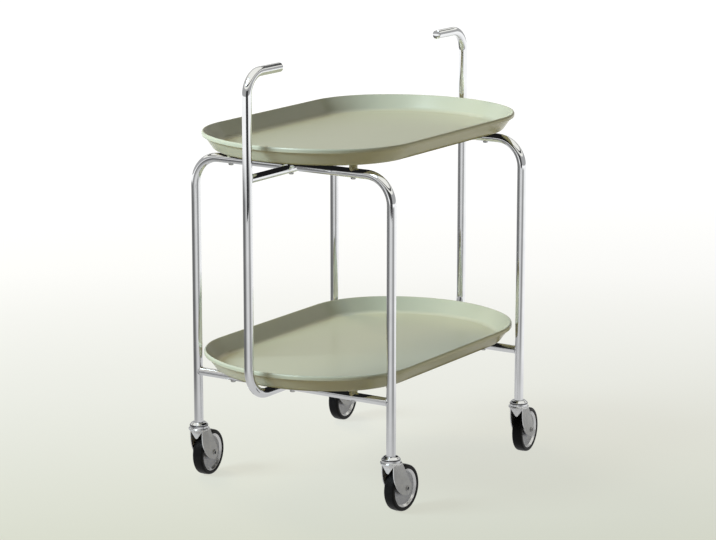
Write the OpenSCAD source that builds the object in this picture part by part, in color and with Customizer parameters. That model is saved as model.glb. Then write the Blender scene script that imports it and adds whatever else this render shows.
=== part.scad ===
// Rolling side table: two oval trays on chromed tube hoops, a tall handle frame
// between them, and four swivel casters.
// +X runs along the trays, +Z is up, and the origin is on the floor under the centre.

/* [Trays] */
// Length of a tray between its two rounded ends
tray_l = 591; // [560:0.1:610]
// Width of a tray between its straight sides
tray_w = 366.4; // [350:0.1:385]
// Radius of the outline at each end
end_r = 209.2; // [206:0.1:225]
// Radius of the outline at each of the four corners
corner_r = 142.7; // [130:0.1:145]
// Height of a tray from its underside to its rim
tray_depth = 28.8; // [24:0.1:36]
// Height of the thick lip round the rim
lip_h = 7.5; // [4:0.1:11]
// How far the lip stands out past the flank below it
lip_out = 4; // [2:0.1:6]
// Width of the rim's top, from its edge to the inside of the wall
rim_w = 2.8; // [2.6:0.1:4]
// How far the flank leans in between the lip and the underside
flank_run = 15; // [11:0.1:20]
// Thickness of the flank at its foot
skin_t = 2.8; // [2:0.1:4]
// Thickness of the floor
floor_t = 3.5; // [2.5:0.1:5]
// Rounding under the tray, where the flank meets the underside
under_r = 8; // [4:0.5:10]
// Rounding inside the tray, where the flank meets the floor
inside_r = 12; // [6:0.5:16]
// Height of the upper tray's rim above the floor
upper_rim_h = 580; // [540:1:610]
// Height of the lower tray's rim above the floor
lower_rim_h = 225.1; // [215:0.1:260]

/* [Frame] */
// Outer diameter of the leg hoops and of the handle frame
tube_d = 15; // [14:0.1:17]
// Outer diameter of the top rail and of the crossbars
rail_d = 13.5; // [12.5:0.1:15]
// Wall of every tube
tube_wall = 1.5; // [1:0.1:2]
// Distance between the two leg hoops, centre to centre
hoop_spacing = 401.4; // [380:0.1:420]
// Bend radius of a leg hoop, on the centreline
hoop_bend_r = 45; // [35:1:55]
// Clear gap between a leg and the edge of a tray
leg_gap = 6.4; // [5:0.1:15]
// Clear gap between an upright and the end of a tray
upright_gap = 16.3; // [14:0.1:26]
// Height of the top of the handles above the floor
handle_h = 700.5; // [650:0.5:750]
// Bend radius at the top of each upright
grip_bend_r = 35; // [25:1:45]
// Straight length of each grip past its bend
grip_l = 52; // [30:1:80]
// Bend radius at the foot of each upright
base_bend_r = 46.5; // [42:0.5:50]
// How far the top rail hangs below the leg hoops
rail_drop = 3.4; // [2:0.1:5]
// Gap between the handle frame and the underside of the lower tray
base_gap = 1.8; // [1:0.1:3]

/* [Stand-offs and screws] */
// Diameter of the stand-offs under the trays
standoff_d = 13; // [11:0.1:13.2]
// Height of the stand-offs between tube and tray
standoff_h = 8.8; // [7:0.1:12]
// Distance between the two stand-offs on one tube
standoff_spacing = 230; // [190:1:250]
// Diameter of the screws
screw_d = 5; // [4:0.1:6]
// Diameter of the screw heads
head_d = 8.6; // [8:0.1:10]
// How far a screw head stands out below its tube
head_h = 2.5; // [2:0.1:4]
// Depth to which a screw reaches into a stand-off
screw_reach = 6; // [4:0.1:6.5]
// Outer diameter of the rivet nuts where two tubes cross
nut_d = 7; // [6.8:0.1:8]
// Height of the rivet nuts above their seat
nut_h = 6; // [5:0.1:7]

/* [Casters] */
// Diameter of a wheel over its tyre
wheel_d = 75; // [65:1:85]
// Width of the tyre
tyre_w = 18; // [15:0.5:19]
// Thickness of the tyre, from the hub to the tread
tyre_t = 5.4; // [4:0.1:8]
// Rounding of the tyre's shoulders
shoulder_r = 4; // [2:0.5:5]
// Width of the raised ring on the hub's faces
ring_w = 5; // [3:0.5:8]
// Thickness of the hub inside its raised ring
web_t = 10; // [6:0.5:13]
// Diameter of the hub's boss round the axle
boss_d = 17; // [14:0.5:20]
// Distance from the swivel axis back to the axle
trail = 29; // [24:0.5:34]
// Clear height between the tyre and the crown of the fork
wheel_room = 7.5; // [5:0.5:15]
// Clear width between the two cheeks of a fork
fork_w = 20; // [20:0.5:21]
// Thickness of the fork's steel sheet
fork_t = 2; // [1.5:0.1:2.5]
// Diameter of the crown on top of a fork
crown_d = 34; // [30:0.5:38]
// Radius of a cheek round its axle
cheek_r = 11.5; // [9:0.5:13]
// Radius of the sweep at the front of a cheek
sweep_r = 47; // [44:1:52]
// How far the front of a fork lies ahead of the swivel axis
fork_front = 9.4; // [9.2:0.1:11]
// How far the top of a cheek reaches behind the swivel axis
fork_rear = 13.7; // [11:0.1:15]
// How far the tongue at the front of a fork hangs below its crown
tongue_h = 11; // [7:0.5:15]
// Diameter of the axle rivet
axle_d = 6; // [5:0.1:7]
// Diameter of the heads of the axle rivet
axle_head_d = 9; // [8:0.1:11]
// Height of the heads of the axle rivet
axle_head_h = 1.2; // [0.8:0.1:2]
// Outer diameter of the sleeve between the cheeks
sleeve_d = 9; // [8.5:0.1:10]
// Diameter of the stem
stem_d = 8; // [7:0.1:9]
// Length of the stem inside its leg
stem_l = 28; // [20:1:40]
// Length of the socket inside its leg
socket_l = 32; // [30:1:50]
// Thickness of the race plate on the stem
race_t = 1.6; // [1:0.1:2.5]
// Height of the domed cap between the race and the leg
cap_h = 4.4; // [3:0.1:7]
// Diameter of the domed cap at its rim
cap_d = 30.8; // [29:0.1:33]
// Thickness of the floor of the ball cup
cup_floor = 1.2; // [0.8:0.1:2]
// Wall of the ball cup
cup_wall = 1.6; // [1:0.1:2]
// Diameter of the balls
ball_d = 3.5; // [3:0.1:4]
// Distance of the balls from the swivel axis
ball_ring_r = 10.5; // [9.5:0.1:11]
// Number of balls in each caster
ball_count = 14; // [10:1:14]
// Direction of the front left caster at rest, from +X, in degrees
front_left_turn = -2; // [-180:1:180]
// Direction of the rear left caster at rest
rear_left_turn = 6; // [-180:1:180]
// Direction of the front right caster at rest
front_right_turn = 7; // [-180:1:180]
// Direction of the rear right caster at rest
rear_right_turn = 4; // [-180:1:180]

/* [Fits] */
// Radial clearance of a part that turns, or that is pushed in
fit = 0.05; // [0.02:0.01:0.1]
// Clearance between faces that turn past each other
run_gap = 0.4; // [0.3:0.05:0.6]
// Clearance beside the pressed flats where two tubes cross
lap_play = 0.15; // [0.1:0.05:0.3]
// Radial clearance of a screw in a drilled tube
drill_play = 0.25; // [0.1:0.05:0.5]

/* [Hidden] */
$fn = 64;
corner_steps = 6;
lip_steps = 3;
cheek_steps = 12;
plate_steps = 8;
lip_round = 1.2;
floor_band = 60;
plate_inset = 42;
plate_skip = 4;
corner_lap = 1;
corner_thin = 0.02;
overcut = 1;

tube_r = tube_d / 2;
rail_r = rail_d / 2;
screw_r = screw_d / 2;
head_r = head_d / 2;
standoff_r = standoff_d / 2;

// Tray outline: an end arc, four corner arcs and straight sides, all tangent
corner_y = tray_w / 2 - corner_r;
end_x = tray_l / 2 - end_r;
corner_x = end_x + sqrt(pow(end_r - corner_r, 2) - pow(corner_y, 2));
end_angle = atan2(corner_y, corner_x - end_x);
upper_base_h = upper_rim_h - tray_depth;
lower_base_h = lower_rim_h - tray_depth;

// Centrelines of the tubes
hoop_x = hoop_spacing / 2;
hoop_z = upper_base_h - standoff_h - tube_r;
leg_reach = corner_r + leg_gap + tube_r;
leg_y = corner_y + (hoop_x > corner_x ? sqrt(pow(leg_reach, 2) - pow(hoop_x - corner_x, 2)) : leg_reach);
crossbar_z = lower_base_h - standoff_h - rail_r;
top_rail_z = hoop_z - tube_r - rail_drop + rail_r;
base_z = lower_base_h - base_gap - tube_r;
upright_x = tray_l / 2 + upright_gap + tube_r;
grip_z = handle_h - tube_r;
grip_end_x = upright_x - grip_bend_r - grip_l;
standoff_y = standoff_spacing / 2;

// Height of the flats where two tubes cross: halfway through their overlap
upper_lap_z = (hoop_z - tube_r + top_rail_z + rail_r) / 2;
lower_lap_z = (base_z - tube_r + crossbar_z + rail_r) / 2;

// Caster heights, from the floor up
axle_z = wheel_d / 2;
crown_z = wheel_d + wheel_room;
cup_z = crown_z + fork_t;
ball_z = cup_z + cup_floor + fit + ball_d / 2;
race_z = ball_z + ball_d / 2 + fit;
cap_z = race_z + race_t;
leg_end_z = cap_z + cap_h;

stem_r = stem_d / 2;
stem_head_r = min(fork_front - fork_t, fork_w / 2) - run_gap;
stem_head_h = 3;
sleeve_r = sleeve_d / 2;
hub_r = wheel_d / 2 - tyre_t;
hub_w = tyre_w - 2;
cup_r = crown_d / 2;
race_r = cup_r - cup_wall - run_gap;

// Stand-offs, screws and casters sit at these places
corners = [[-1, -1], [-1, 1], [1, -1], [1, 1]];
sides = [-1, 1];

// Points of the arc of radius r that rounds the corner v between a and b, snapped to a ten-thousandth
function snap(p) = [round(p[0] * 1e4) / 1e4, round(p[1] * 1e4) / 1e4];
function unit(v) = v / norm(v);
function wrap(a) = a > 180 ? a - 360 : a < -180 ? a + 360 : a;
function rounded(a, v, b, r, steps = corner_steps) =
    let (p = unit(a - v), q = unit(b - v), half = acos(p * q) / 2)
    let (c = v + unit(p + q) * r / sin(half))
    let (from = v + p * r / tan(half) - c, to = v + q * r / tan(half) - c)
    let (start = atan2(from[1], from[0]), sweep = wrap(atan2(to[1], to[0]) - start))
    [for (i = [0:steps]) snap(c + r * [cos(start + sweep * i / steps), sin(start + sweep * i / steps)])];

// Points of an arc round c from angle a0 to a1
function arc(c, r, a0, a1, steps) =
    [for (i = [0:steps]) c + r * [cos(a0 + (a1 - a0) * i / steps), sin(a0 + (a1 - a0) * i / steps)]];

// Trays
// The wall and a band of floor in section, with the rim's edge at outline radius r and the rim at height 0
function tray_section(r) =
    let (lean = atan2(flank_run, tray_depth - lip_h), skin_run = skin_t / cos(lean))
    let (floor_z = floor_t - tray_depth)
    let (under = [r - lip_out - flank_run, -tray_depth], lip_under = [r - lip_out, -lip_h])
    let (lip_edge = [r, -lip_h], rim = [r, 0])
    let (rim_in = [r - rim_w, 0])
    let (floor_in = [under[0] - skin_run + floor_t * tan(lean), floor_z])
    let (band_low = [r - floor_band, -tray_depth], band_high = [r - floor_band, floor_z])
    concat(
        [band_low],
        rounded(band_low, under, lip_under, under_r),
        [lip_under],
        rounded(lip_under, lip_edge, rim, lip_round, lip_steps),
        rounded(lip_edge, rim, rim_in, lip_round, lip_steps),
        rounded(rim, rim_in, floor_in, lip_round, lip_steps),
        rounded(rim_in, floor_in, band_high, inside_r),
        [band_high]
    );

// Points set in from a closed outline, which runs with its inside on the left
function set_in(points, d) = [
    for (i = [0:len(points) - 1])
        let (v = points[i], a = points[(i + len(points) - 1) % len(points)])
        let (b = points[(i + 1) % len(points)])
        let (p = unit(v - a), q = unit(b - v), n = [-p[1], p[0]], m = [-q[1], q[0]])
        snap(v + (n + m) * d / (1 + n * m))
];

// Points along the right half of the floor plate, from the near side to the far side. Its arcs stop
// short of where the wall's arcs meet
function right_outline(inset, skip) = concat(
    arc([corner_x, -corner_y], corner_r - inset, skip - 90, -end_angle - skip, plate_steps),
    arc([end_x, 0], end_r - inset, skip - end_angle, end_angle - skip, plate_steps),
    arc([corner_x, corner_y], corner_r - inset, end_angle + skip, 90 - skip, plate_steps)
);

// A tall prism over the given outline, past both faces of a tray
module wedge(outline) {
    translate([0, 0, -2 * tray_depth]) linear_extrude(4 * tray_depth) polygon(outline);
}

// Two ends and two sides carry the wall. Four corners, a hair thinner all round, reach a little way
// into both of their neighbours, and one plate fills the floor between them
module tray() {
    plate = right_outline(plate_inset, plate_skip);
    corner = [corner_x, corner_y];
    far = corner + tray_l * [cos(end_angle), sin(end_angle)];
    lap = corner_lap * [sin(end_angle), -cos(end_angle)];
    for (sx = [0, 1]) mirror([sx, 0, 0]) {
        intersection() {
            translate([end_x, 0, 0]) rotate_extrude() polygon(tray_section(end_r));
            wedge([[end_x, 0], [far[0], -far[1]], far]);
        }
        for (sy = [0, 1]) mirror([0, sy, 0]) intersection() {
            translate([corner_x, corner_y, 0]) rotate_extrude()
                polygon(set_in(tray_section(corner_r), corner_thin));
            wedge([corner + lap, far + lap, [corner[0] - corner_lap, far[1]], corner - [corner_lap, 0]]);
        }
    }
    for (sy = [0, 1]) mirror([0, sy, 0]) translate([-corner_x, corner_y, 0]) rotate([90, 0, 90])
        linear_extrude(2 * corner_x) polygon(tray_section(corner_r));
    translate([0, 0, -tray_depth]) linear_extrude(floor_t)
        polygon(concat(plate, [for (p = plate) -p]));
}

module upper_tray() {
    color("#b3b89b") translate([0, 0, upper_rim_h]) tray();
}

module lower_tray() {
    color("#b3b89b") translate([0, 0, lower_rim_h]) tray();
}

// Stand-offs: a boss saddled on the tube below, with a blind hole for its screw
module standoffs(base_h, axis_z, r) {
    saddle = standoff_r < r ? sqrt(r * r - standoff_r * standoff_r) : 0;
    for (c = corners) translate([c[0] * hoop_x, c[1] * standoff_y, 0]) difference() {
        translate([0, 0, axis_z + saddle]) cylinder(r = standoff_r, h = base_h - axis_z - saddle);
        translate([0, 0, axis_z]) rotate([90, 0, 0])
            cylinder(r = r + fit, h = standoff_d + 2 * overcut, center = true);
        translate([0, 0, axis_z]) cylinder(r = screw_r + fit, h = r + screw_reach + fit);
    }
}

module upper_standoffs() {
    color("#a9ad92") standoffs(upper_base_h, hoop_z, tube_r);
}

module lower_standoffs() {
    color("#a9ad92") standoffs(lower_base_h, crossbar_z, rail_r);
}

// Screws
// A pan-head screw from below: its head nests on a tube of radius r, running along the angle turn
module screw(axis_z, r, turn, reach_z) {
    nest = r - sqrt(r * r - head_r * head_r);
    head_z = axis_z - r - head_h;
    crown_r = head_r * 0.75;
    socket_r = screw_r * 0.6;
    socket_h = head_h * 0.6;
    difference() {
        union() {
            rotate_extrude() polygon([
                [0, head_z], [crown_r, head_z], [head_r, head_z + head_h / 2],
                [head_r, axis_z - r + nest], [0, axis_z - r + nest]
            ]);
            translate([0, 0, axis_z - r]) cylinder(r = screw_r, h = reach_z - axis_z + r);
        }
        difference() {
            translate([0, 0, axis_z]) rotate([90, 0, turn])
                cylinder(r = r + fit, h = head_d + 2 * overcut, center = true);
            translate([0, 0, axis_z - r - overcut]) cylinder(r = screw_r, h = 2 * (r + overcut));
        }
        translate([0, 0, head_z - overcut]) cylinder(r = socket_r, h = socket_h + overcut, $fn = 6);
    }
}

module upper_tray_screws() {
    color("#c9c9c9") for (c = corners) translate([c[0] * hoop_x, c[1] * standoff_y, 0])
        screw(hoop_z, tube_r, 0, hoop_z + tube_r + screw_reach);
}

module lower_tray_screws() {
    color("#c9c9c9") for (c = corners) translate([c[0] * hoop_x, c[1] * standoff_y, 0])
        screw(crossbar_z, rail_r, 0, crossbar_z + rail_r + screw_reach);
}

module upper_crossing_screws() {
    color("#c9c9c9") for (s = sides) translate([s * hoop_x, 0, 0])
        screw(top_rail_z, rail_r, 90, upper_lap_z + nut_h);
}

module lower_crossing_screws() {
    color("#c9c9c9") for (s = sides) translate([s * hoop_x, 0, 0])
        screw(crossbar_z, rail_r, 0, lower_lap_z + nut_h);
}

// A rivet nut: flush with the flat, and swaged out above the tube wall
module rivet_nut(lap_z) {
    bulge = 0.6;
    bulge_h = 1.4;
    translate([0, 0, lap_z]) difference() {
        union() {
            cylinder(d = nut_d, h = nut_h);
            translate([0, 0, tube_wall + fit]) cylinder(r = nut_d / 2 + bulge, h = bulge_h);
        }
        translate([0, 0, -overcut]) cylinder(r = screw_r + fit, h = nut_h + 2 * overcut);
    }
}

module rivet_nuts() {
    color("#b5b5b0") for (s = sides) translate([s * hoop_x, 0, 0]) {
        rivet_nut(upper_lap_z);
        rivet_nut(lower_lap_z);
    }
}

// Tubes
// A straight bar of radius r from point a along the unit axis, which is "x", "y" or "z"
module bar(a, axis, l, r) {
    turn = axis == "x" ? [0, 90, 0] : axis == "y" ? [-90, 0, 0] : [0, 0, 0];
    translate(a) rotate(turn) cylinder(r = r, h = l);
}

// A quarter bend in the XZ plane round the origin, from +X up to +Z
module quarter(bend_r, r) {
    rotate([90, 0, 0]) rotate_extrude(angle = 90) translate([bend_r, 0]) circle(r = r);
}

// The space that a pressed flat takes from a tube, grown by the tube's wall for the hollow
module lap_space(x, lap_z, half_x, half_y, up, grow) {
    depth = tube_d + rail_d;
    low = up ? lap_z - grow : lap_z - depth;
    translate([x - half_x - grow, -half_y - grow, low])
        cube([2 * (half_x + grow), 2 * (half_y + grow), depth + grow]);
}

// Leg hoop: two legs, two bends and a top run; run_on lengthens the legs for the hollow
module hoop_bar(x, r, run_on) {
    leg_l = hoop_z - hoop_bend_r - leg_end_z;
    for (s = sides) bar([x, s * leg_y, leg_end_z - run_on], "z", leg_l + run_on, r);
    for (turn = [0, 180]) translate([x, 0, hoop_z - hoop_bend_r]) rotate([0, 0, 90 + turn])
        translate([leg_y - hoop_bend_r, 0, 0]) quarter(hoop_bend_r, r);
    bar([x, hoop_bend_r - leg_y, hoop_z], "y", 2 * (leg_y - hoop_bend_r), r);
}

module leg_hoop(s) {
    half_x = tube_d + overcut;
    half_y = rail_r + lap_play;
    color("#cfd2d4") difference() {
        hoop_bar(s * hoop_x, tube_r, 0);
        difference() {
            hoop_bar(s * hoop_x, tube_r - tube_wall, overcut);
            lap_space(s * hoop_x, upper_lap_z, half_x, half_y, false, tube_wall);
        }
        lap_space(s * hoop_x, upper_lap_z, half_x, half_y, false, 0);
        for (t = sides) translate([s * hoop_x, t * standoff_y, hoop_z - tube_d])
            cylinder(r = screw_r + drill_play, h = 2 * tube_d);
        translate([s * hoop_x, 0, upper_lap_z - overcut])
            cylinder(d = nut_d + 2 * fit, h = tube_wall + 2 * overcut);
    }
}

module left_leg_hoop() leg_hoop(-1);
module right_leg_hoop() leg_hoop(1);

// Crossbar: coped at both ends on the legs, flat on top where the handle frame crosses
module crossbar(s) {
    x = s * hoop_x;
    half_x = tube_d + overcut;
    half_y = tube_r + lap_play;
    color("#cfd2d4") difference() {
        bar([x, -leg_y, crossbar_z], "y", 2 * leg_y, rail_r);
        difference() {
            bar([x, -leg_y - overcut, crossbar_z], "y", 2 * (leg_y + overcut), rail_r - tube_wall);
            lap_space(x, lower_lap_z, half_x, half_y, true, tube_wall);
        }
        lap_space(x, lower_lap_z, half_x, half_y, true, 0);
        for (t = sides) bar([x, t * leg_y, crossbar_z - rail_d], "z", 2 * rail_d, tube_r + fit);
        for (y = [-standoff_y, 0, standoff_y]) translate([x, y, crossbar_z - rail_d])
            cylinder(r = screw_r + drill_play, h = 2 * rail_d);
    }
}

module left_crossbar() crossbar(-1);
module right_crossbar() crossbar(1);

// Top rail: coped on the two uprights, flat on top where it passes under the hoops
module top_rail() {
    half_x = tube_r + lap_play;
    half_y = tube_d + overcut;
    color("#cfd2d4") difference() {
        bar([-upright_x, 0, top_rail_z], "x", 2 * upright_x, rail_r);
        difference() {
            bar([-upright_x - overcut, 0, top_rail_z], "x", 2 * (upright_x + overcut), rail_r - tube_wall);
            for (s = sides) lap_space(s * hoop_x, upper_lap_z, half_x, half_y, true, tube_wall);
        }
        for (s = sides) {
            lap_space(s * hoop_x, upper_lap_z, half_x, half_y, true, 0);
            bar([s * upright_x, 0, top_rail_z - rail_d], "z", 2 * rail_d, tube_r + fit);
            translate([s * hoop_x, 0, top_rail_z - rail_d])
                cylinder(r = screw_r + drill_play, h = 2 * rail_d);
        }
    }
}

// Handle frame: grip, upright, base run, upright and grip, bent from one tube
module handle_bar(r, run_on) {
    upright_l = grip_z - grip_bend_r - base_z - base_bend_r;
    for (turn = [0, 180]) rotate([0, 0, turn]) {
        bar([grip_end_x - run_on, 0, grip_z], "x", grip_l + run_on, r);
        translate([upright_x - grip_bend_r, 0, grip_z - grip_bend_r]) quarter(grip_bend_r, r);
        bar([upright_x, 0, base_z + base_bend_r], "z", upright_l, r);
        translate([upright_x - base_bend_r, 0, base_z + base_bend_r]) mirror([0, 0, 1])
            quarter(base_bend_r, r);
    }
    bar([base_bend_r - upright_x, 0, base_z], "x", 2 * (upright_x - base_bend_r), r);
}

module handle_frame() {
    half_x = rail_r + lap_play;
    half_y = tube_d + overcut;
    color("#d4d7d9") difference() {
        handle_bar(tube_r, 0);
        difference() {
            handle_bar(tube_r - tube_wall, overcut);
            for (s = sides) lap_space(s * hoop_x, lower_lap_z, half_x, half_y, false, tube_wall);
        }
        for (s = sides) {
            lap_space(s * hoop_x, lower_lap_z, half_x, half_y, false, 0);
            translate([s * hoop_x, 0, lower_lap_z - overcut])
                cylinder(d = nut_d + 2 * fit, h = tube_wall + 2 * overcut);
        }
    }
}

// Grip cap: a shallow dome over the tube's end, with a plug inside it
module grip_cap(s) {
    dome_h = 1.2;
    dome_r = (tube_r * tube_r + dome_h * dome_h) / (2 * dome_h);
    plug_l = 10;
    color("#d4d7d9") translate([s * grip_end_x, 0, grip_z]) rotate([0, -90 * s, 0]) {
        intersection() {
            cylinder(r = tube_r, h = dome_h);
            translate([0, 0, dome_h - dome_r]) sphere(r = dome_r);
        }
        translate([0, 0, -plug_l]) cylinder(r = tube_r - tube_wall - fit, h = plug_l);
    }
}

module left_grip_cap() grip_cap(-1);
module right_grip_cap() grip_cap(1);

// Casters
// Every caster part is drawn round a swivel axis at the origin, with the axle at +X
module place(sx, sy, turn) {
    translate([sx * hoop_x, sy * leg_y, 0]) rotate([0, 0, turn]) children();
}

module caster_socket() {
    socket_r = tube_r - tube_wall - fit;
    color("#3b3b3b") translate([0, 0, leg_end_z]) difference() {
        cylinder(r = socket_r, h = socket_l);
        translate([0, 0, -overcut]) cylinder(r = stem_r + fit, h = stem_l + fit + overcut);
    }
}

// Stem: a pin with a race plate above the fork and a riveted head below its crown
module caster_stem() {
    head_top = crown_z - run_gap;
    head_z = head_top - stem_head_h;
    dome_r = stem_head_r * 0.7;
    color("#b8b8b8") rotate_extrude() polygon([
        [0, head_z], [dome_r, head_z], [stem_head_r, head_z + stem_head_h / 2],
        [stem_head_r, head_top], [stem_r, head_top], [stem_r, race_z],
        [race_r, race_z], [race_r, cap_z], [stem_r, cap_z],
        [stem_r, leg_end_z + stem_l], [0, leg_end_z + stem_l]
    ]);
}

// Cap: a low dome from its rim up to the foot of the leg
module caster_cap() {
    shoulder = 1.1;
    rim_h = 0.8;
    knee_in = 1.5;
    top_r = tube_r + shoulder;
    bore_r = stem_r + fit;
    rim = [cap_d / 2, cap_z + rim_h];
    knee = [cap_d / 2 - knee_in, leg_end_z];
    top = [top_r, leg_end_z];
    color("#c4c6c8") rotate_extrude() polygon(concat(
        [[bore_r, cap_z], [cap_d / 2, cap_z], rim],
        [for (i = [1:corner_steps]) let (k = i / corner_steps)
            (1 - k) * (1 - k) * rim + 2 * k * (1 - k) * knee + k * k * top],
        [[bore_r, leg_end_z]]
    ));
}

// Ball cup: a shallow cup riding on the fork's crown
module caster_ball_cup() {
    foot_edge = 0.6;
    top_edge = 0.4;
    wall_top = cap_z - run_gap;
    inner_r = cup_r - cup_wall;
    color("#bcbec0") rotate_extrude() polygon([
        [stem_r + run_gap, cup_z], [cup_r - foot_edge, cup_z], [cup_r, cup_z + foot_edge],
        [cup_r, wall_top - top_edge], [cup_r - top_edge, wall_top], [inner_r, wall_top],
        [inner_r, cup_z + cup_floor], [stem_r + run_gap, cup_z + cup_floor]
    ]);
}

module caster_balls() {
    color("#d8d8d8") for (i = [0:ball_count - 1]) rotate([0, 0, 360 * i / ball_count])
        translate([ball_ring_r, 0, ball_z]) sphere(d = ball_d);
}

// One cheek of the fork in side view, from the crown down to the axle
module cheek_outline() {
    axle = [trail, axle_z];
    sweep_x = sweep_r - fork_front;
    sweep_z = axle_z + sqrt(pow(sweep_r - cheek_r, 2) - pow(sweep_x - trail, 2));
    touch = atan2(axle_z - sweep_z, trail - sweep_x);
    rear = [fork_rear, cup_z];
    reach = norm(rear - axle);
    leave = atan2(rear[1] - axle[1], rear[0] - axle[0]) - acos(cheek_r / reach);
    polygon(concat(
        [[-fork_front, cup_z]],
        arc([sweep_x, sweep_z], sweep_r, -180, touch, cheek_steps),
        arc(axle, cheek_r, touch, leave, cheek_steps),
        [rear]
    ));
}

// Fork: a crown with two cheeks and a pointed tongue between them at the front
module caster_fork() {
    half_w = fork_w / 2;
    tip_w = 2.5;
    color("#8f9193") difference() {
        union() {
            translate([0, 0, crown_z]) cylinder(d = crown_d, h = fork_t);
            for (y = [half_w + fork_t, -half_w]) translate([0, y, 0]) rotate([90, 0, 0])
                linear_extrude(fork_t) cheek_outline();
            translate([-fork_front, 0, 0]) rotate([90, 0, 90]) linear_extrude(fork_t) polygon([
                [-half_w - fork_t, cup_z], [-half_w - fork_t, crown_z], [-tip_w, crown_z - tongue_h],
                [tip_w, crown_z - tongue_h], [half_w + fork_t, crown_z], [half_w + fork_t, cup_z]
            ]);
        }
        translate([0, 0, crown_z - overcut]) cylinder(r = stem_r + fit, h = fork_t + 2 * overcut);
        translate([trail, 0, axle_z]) rotate([90, 0, 0])
            cylinder(r = axle_d / 2 + fit, h = fork_w + 2 * (fork_t + overcut), center = true);
    }
}

// Axle: a rivet through both cheeks, dished at each end
module caster_axle() {
    outer = fork_w / 2 + fork_t;
    head_edge_r = axle_head_d / 2;
    bevel = axle_head_h / 2;
    dish_r = axle_head_d * 0.3;
    color("#a8a8a8") translate([trail, 0, axle_z]) rotate([90, 0, 0]) difference() {
        union() {
            cylinder(d = axle_d, h = 2 * outer, center = true);
            for (s = [0, 1]) mirror([0, 0, s]) translate([0, 0, outer])
                rotate_extrude() polygon([
                    [0, 0], [head_edge_r, 0], [head_edge_r, axle_head_h - bevel],
                    [head_edge_r - bevel, axle_head_h], [0, axle_head_h]
                ]);
        }
        for (s = [0, 1]) mirror([0, 0, s]) translate([0, 0, outer])
            cylinder(r = dish_r, h = axle_head_h + overcut);
    }
}

module caster_sleeve() {
    color("#9a9a9a") translate([trail, 0, axle_z]) rotate([90, 0, 0]) difference() {
        cylinder(d = sleeve_d, h = fork_w, center = true);
        cylinder(r = axle_d / 2 + fit, h = fork_w + 2 * overcut, center = true);
    }
}

// Hub: a web between a raised ring and a boss that turns on the sleeve
module caster_hub() {
    ring_in = hub_r - ring_w;
    boss_r = boss_d / 2;
    boss_w = fork_w - 2 * run_gap;
    bore_r = sleeve_r + fit;
    bevel = 0.6;
    slope = 0.8;
    face = [
        [hub_r, hub_w / 2 - bevel], [hub_r - bevel, hub_w / 2], [ring_in + slope, hub_w / 2],
        [ring_in - slope, web_t / 2], [boss_r + slope, web_t / 2], [boss_r, web_t / 2 + slope],
        [boss_r, boss_w / 2], [bore_r, boss_w / 2]
    ];
    other_face = [for (i = [len(face) - 1:-1:0]) [face[i][0], -face[i][1]]];
    color("#77797b") translate([trail, 0, axle_z]) rotate([90, 0, 0])
        rotate_extrude() polygon(concat(face, other_face));
}

module caster_tyre() {
    half_w = tyre_w / 2;
    outer = wheel_d / 2;
    inner = hub_r + fit;
    color("#1c1c1c") translate([trail, 0, axle_z]) rotate([90, 0, 0]) rotate_extrude() polygon(concat(
        [[inner, -half_w]],
        rounded([inner, -half_w], [outer, -half_w], [outer, half_w], shoulder_r),
        rounded([outer, -half_w], [outer, half_w], [inner, half_w], shoulder_r),
        [[inner, half_w]]
    ));
}

// One part of a caster, by name
module caster_part(part) {
    if (part == "socket") caster_socket();
    if (part == "stem") caster_stem();
    if (part == "cap") caster_cap();
    if (part == "ball_cup") caster_ball_cup();
    if (part == "balls") caster_balls();
    if (part == "fork") caster_fork();
    if (part == "axle") caster_axle();
    if (part == "sleeve") caster_sleeve();
    if (part == "hub") caster_hub();
    if (part == "tyre") caster_tyre();
}

module caster(name, sx, sy, turn) {
    for (part = ["socket", "stem", "cap", "ball_cup", "balls", "fork", "axle", "sleeve", "hub", "tyre"])
        place(sx, sy, turn) caster_part(part);
}

upper_tray();
lower_tray();
upper_standoffs();
lower_standoffs();
upper_tray_screws();
lower_tray_screws();
upper_crossing_screws();
lower_crossing_screws();
rivet_nuts();
handle_frame();
top_rail();
left_leg_hoop();
right_leg_hoop();
left_crossbar();
right_crossbar();
left_grip_cap();
right_grip_cap();
caster("front_left", -1, -1, front_left_turn);
caster("rear_left", -1, 1, rear_left_turn);
caster("front_right", 1, -1, front_right_turn);
caster("rear_right", 1, 1, rear_right_turn);
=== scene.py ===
import math

import bpy
from mathutils import Matrix, Vector

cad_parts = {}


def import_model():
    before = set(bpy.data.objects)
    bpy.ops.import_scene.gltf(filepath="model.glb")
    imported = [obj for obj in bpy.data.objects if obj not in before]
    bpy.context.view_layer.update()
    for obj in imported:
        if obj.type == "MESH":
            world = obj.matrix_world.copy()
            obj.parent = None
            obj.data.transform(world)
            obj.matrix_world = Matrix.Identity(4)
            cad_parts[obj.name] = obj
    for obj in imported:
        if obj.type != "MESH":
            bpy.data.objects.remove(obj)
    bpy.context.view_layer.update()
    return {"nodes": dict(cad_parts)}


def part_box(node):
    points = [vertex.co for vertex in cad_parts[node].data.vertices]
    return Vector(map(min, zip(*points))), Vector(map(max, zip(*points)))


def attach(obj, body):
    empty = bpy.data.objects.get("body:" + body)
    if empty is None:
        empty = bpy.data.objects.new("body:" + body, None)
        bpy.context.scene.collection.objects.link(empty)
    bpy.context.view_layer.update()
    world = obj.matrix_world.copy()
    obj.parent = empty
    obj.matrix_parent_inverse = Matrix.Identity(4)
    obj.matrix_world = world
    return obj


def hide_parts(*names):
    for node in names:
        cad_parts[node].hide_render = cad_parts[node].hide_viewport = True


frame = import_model()

# Metres, +X along the trays, +Z up, origin on the floor under the centre of the table

MM = 0.001
LEFT, RIGHT = -1, 1
SIDES = {"left": LEFT, "right": RIGHT}
CASTERS = ("front_left", "rear_left", "front_right", "rear_right")


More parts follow.
